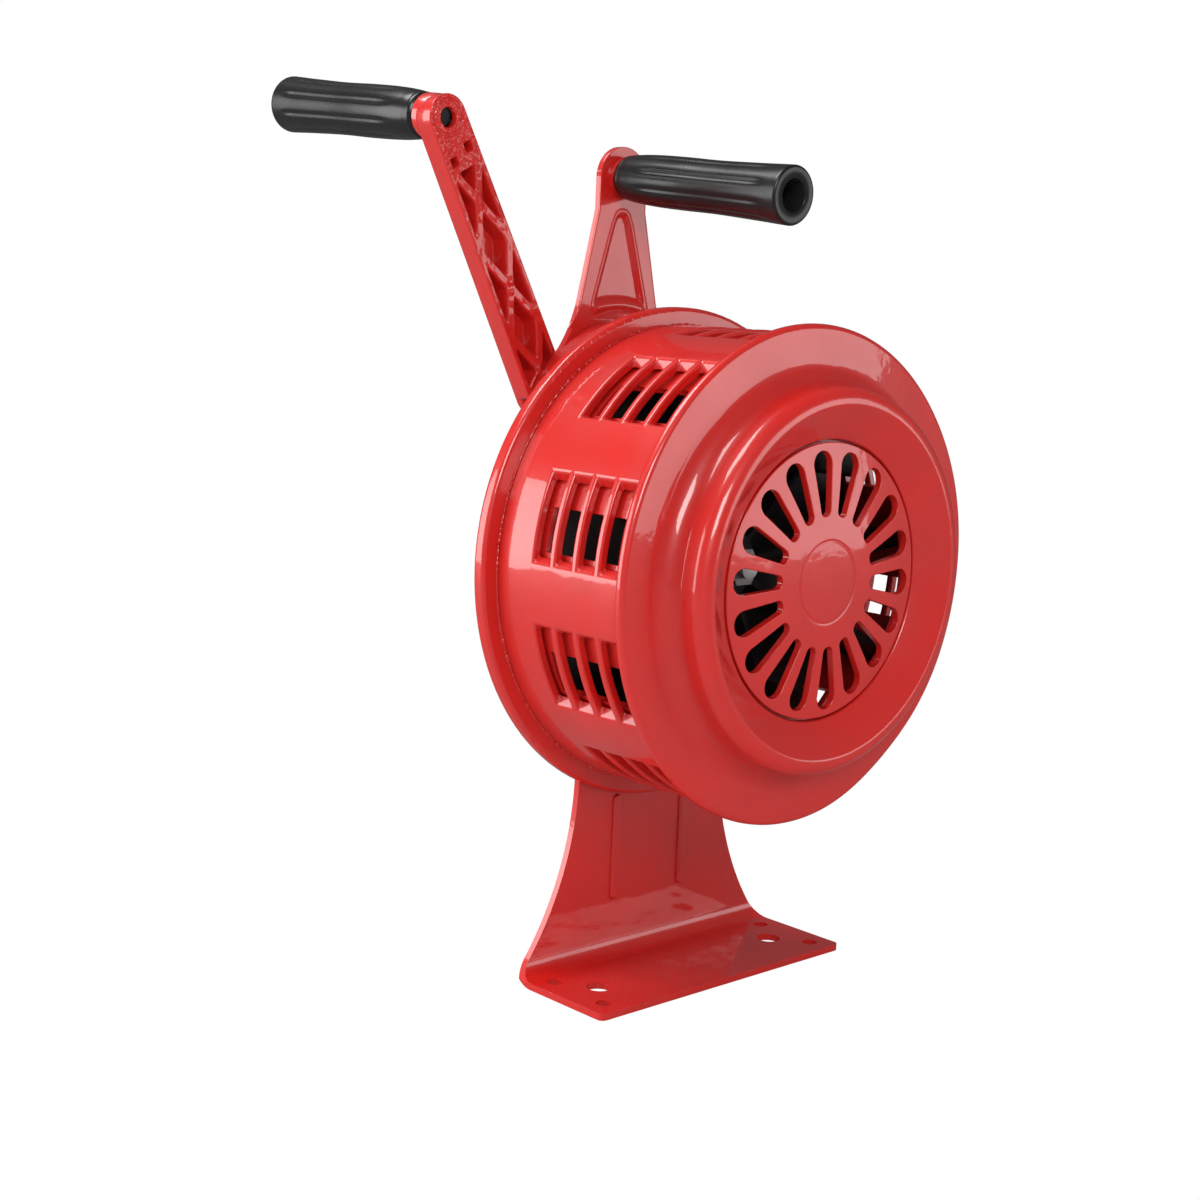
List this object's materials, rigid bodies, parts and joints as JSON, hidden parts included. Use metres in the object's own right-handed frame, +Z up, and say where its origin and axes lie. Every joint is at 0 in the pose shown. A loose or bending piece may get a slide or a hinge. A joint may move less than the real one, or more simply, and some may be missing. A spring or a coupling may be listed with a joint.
{
  "type": "hand crank siren",
  "caption": "Red hand crank siren: ported drum on a bent base, geared crank, black grips and a slotted mouth.",
  "frame": {"origin": "centre of the four small base holes, on the underside of the base", "axes": "+Z up, +X to the right of the mouth, -Y out of the mouth; the crank is at +Y"},
  "size_m": [0.2278, 0.2714, 0.4089],
  "materials": {
    "red_paint": "gloss",
    "black_paint": "satin",
    "black_plastic": "gloss",
    "steel": "zinc plated",
    "brass": "plain"
  },
  "bodies": {
    "root": {"base_bracket": "red_paint", "bracket_bolts": "steel", "bracket_washers": "steel", "rear_plate": "red_paint", "stator_drum": "red_paint", "drum_screws": "steel", "front_cover": "red_paint", "inlet_grille": "red_paint", "gear_housing": "red_paint", "housing_screws": "steel", "housing_cover": "red_paint", "cover_screws": "steel", "crank_bushes": "brass", "idler_bushes": "brass", "rotor_bush": "brass", "bearing_outer_race": "steel", "carry_grip": "black_plastic", "carry_grip_bolt": "steel"},
    "rotor": {"rotor_shell": "red_paint", "impeller": "black_paint", "rotor_rivets": "steel", "rotor_shaft": "steel", "rotor_key": "steel", "rotor_washer": "steel", "rotor_nut": "steel", "rotor_pinion": "steel", "rotor_circlip": "steel", "bearing_inner_race": "steel"},
    "bearing_balls": {"bearing_balls": "steel", "ball_cage": "brass"},
    "crank": {"crank_shaft": "steel", "crank_gear": "steel", "crank_circlip": "steel", "crank_arm": "red_paint", "arm_key": "steel", "arm_washer": "steel", "arm_screw": "steel", "crank_grip_bolt": "steel"},
    "crank_grip": {"crank_grip": "black_plastic"},
    "idler_1": {"idler_1_shaft": "steel", "idler_1_pinion": "steel", "idler_1_gear": "steel", "idler_1_circlip": "steel"},
    "idler_2": {"idler_2_shaft": "steel", "idler_2_pinion": "steel", "idler_2_gear": "steel", "idler_2_circlip": "steel"}
  },
  "joints": [
    {"name": "crank_turn", "type": "hinge", "parent": "root", "child": "crank", "pos_m": [-0.0375, 0, 0.2675], "axis": [0, 1, 0], "continuous": true},
    {"name": "grip_spin", "type": "hinge", "parent": "crank", "child": "crank_grip", "pos_m": [-0.1009, 0.071, 0.38623], "axis": [0, 0.9966, 0.0819], "continuous": true},
    {"name": "idler_1_turn", "type": "hinge", "parent": "root", "child": "idler_1", "pos_m": [-0.01866, 0, 0.24679], "axis": [0, 1, 0], "continuous": true},
    {"name": "idler_2_turn", "type": "hinge", "parent": "root", "child": "idler_2", "pos_m": [-0.00323, 0, 0.22463], "axis": [0, 1, 0], "continuous": true},
    {"name": "rotor_spin", "type": "hinge", "parent": "root", "child": "rotor", "pos_m": [0, 0, 0.1948], "axis": [0, 1, 0], "continuous": true},
    {"name": "ball_roll", "type": "hinge", "parent": "root", "child": "bearing_balls", "pos_m": [0, 0, 0.1948], "axis": [0, 1, 0], "continuous": true}
  ],
  "couplings": [
    {"joint": "idler_1_turn", "follows": "crank_turn", "ratio": -3.6667},
    {"joint": "idler_2_turn", "follows": "crank_turn", "ratio": 12.833},
    {"joint": "rotor_spin", "follows": "crank_turn", "ratio": -35.292}
  ]
}
